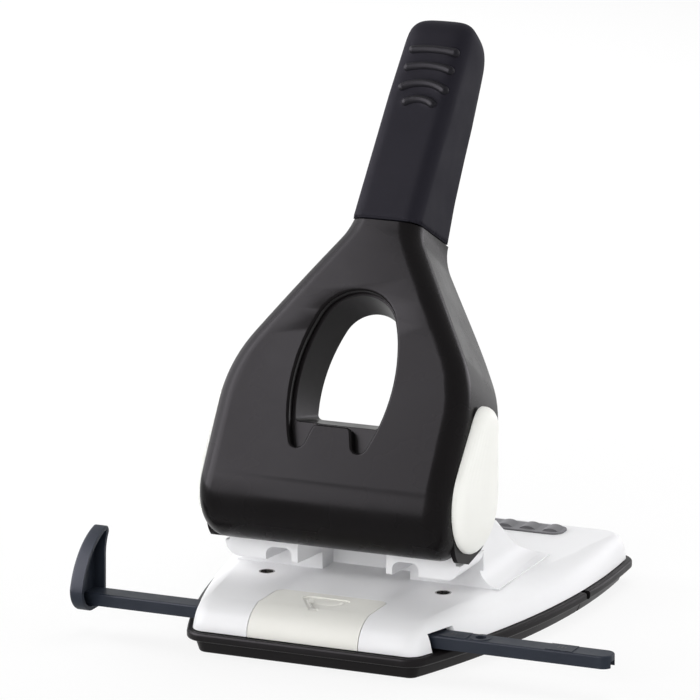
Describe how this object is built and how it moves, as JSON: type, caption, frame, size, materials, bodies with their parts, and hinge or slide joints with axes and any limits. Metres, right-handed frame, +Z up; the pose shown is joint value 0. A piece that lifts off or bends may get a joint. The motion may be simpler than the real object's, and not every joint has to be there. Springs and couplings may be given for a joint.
{
  "type": "paper drill",
  "caption": "Desk paper drill with two punches: a broad black lever with a rubber grip and a finger hole on a white base with a sliding side guide, a release key and a swing-down chip tray.",
  "frame": {"origin": "centre of the face the base rests on, at floor level", "axes": "X to the machine's right as seen by the person in front of the paper throat, Y from the front to the rear, Z up"},
  "size_m": [0.2358, 0.1818, 0.2434],
  "materials": {
    "black_paint": "semi-gloss black enamel",
    "grip_rubber": "matte, soft touch",
    "black_plastic": "matte, fine grain",
    "white_paint": "satin white enamel",
    "white_plastic": "satin",
    "key_plastic": "satin, warm white",
    "slate_plastic": "moulded, satin",
    "pad_rubber": "matte",
    "bright_steel": "ground",
    "zinc_steel": "zinc plated",
    "spring_steel": "drawn wire",
    "brass": "turned"
  },
  "bodies": {
    "base": {"base_cover": "white_paint", "key_pin": "zinc_steel", "rear_pad": "pad_rubber", "tray_rear": "black_plastic", "tray_hinge_pins": "zinc_steel", "cover_screws": "zinc_steel", "die_plate": "zinc_steel", "punch_housing": "white_paint", "housing_screws": "zinc_steel", "guide_channel": "black_plastic", "guide_detent": "spring_steel", "pivot_pin_left": "bright_steel", "pivot_pin_right": "bright_steel", "die_left": "bright_steel", "die_right": "bright_steel", "guide_bush_left": "brass", "guide_bush_right": "brass", "punch_spring_left": "spring_steel", "punch_spring_right": "spring_steel"},
    "lever": {"lever_shell": "black_paint", "finger_liner": "black_plastic", "grip_sleeve": "grip_rubber", "press_bar": "bright_steel", "pivot_bush_left": "brass", "pivot_bush_right": "brass", "side_cap_left": "white_plastic", "side_cap_right": "white_plastic"},
    "left_punch": {"punch_left": "bright_steel", "punch_collar_left": "zinc_steel"},
    "right_punch": {"punch_right": "bright_steel", "punch_collar_right": "zinc_steel"},
    "side_guide": {"paper_guide": "slate_plastic"},
    "tray": {"chip_tray": "black_plastic"},
    "release_key": {"guide_key": "key_plastic"}
  },
  "joints": [
    {"name": "lever_hinge", "type": "hinge", "parent": "base", "child": "lever", "pos_m": [0, -0.05255, 0.0632], "axis": [-1, 0, 0], "range_deg": [0, 38], "stiffness_Nm_per_rad": 0.8, "springref_deg": -34.38},
    {"name": "left_punch_slide", "type": "slide", "parent": "base", "child": "left_punch", "axis": [0, 0, -1], "range_m": [0, 0.0125], "deforming": ["punch_spring_left"]},
    {"name": "right_punch_slide", "type": "slide", "parent": "base", "child": "right_punch", "axis": [0, 0, -1], "range_m": [0, 0.0125], "deforming": ["punch_spring_right"]},
    {"name": "guide_slide", "type": "slide", "parent": "base", "child": "side_guide", "axis": [1, 0, 0], "range_m": [-0.048, 0.036]},
    {"name": "tray_hinge", "type": "hinge", "parent": "base", "child": "tray", "pos_m": [0, 0.02785, 0.00305], "axis": [1, 0, 0], "range_deg": [0, 55]},
    {"name": "key_hinge", "type": "hinge", "parent": "base", "child": "release_key", "pos_m": [0, -0.05865, 0.0174], "axis": [1, 0, 0], "range_deg": [0, 2.5], "stiffness_Nm_per_rad": 0.3, "springref_deg": -5.73}
  ],
  "couplings": [
    {"joint": "left_punch_slide", "follows": "lever_hinge", "m_per_rad": 0.018654},
    {"joint": "right_punch_slide", "follows": "lever_hinge", "m_per_rad": 0.018654}
  ]
}
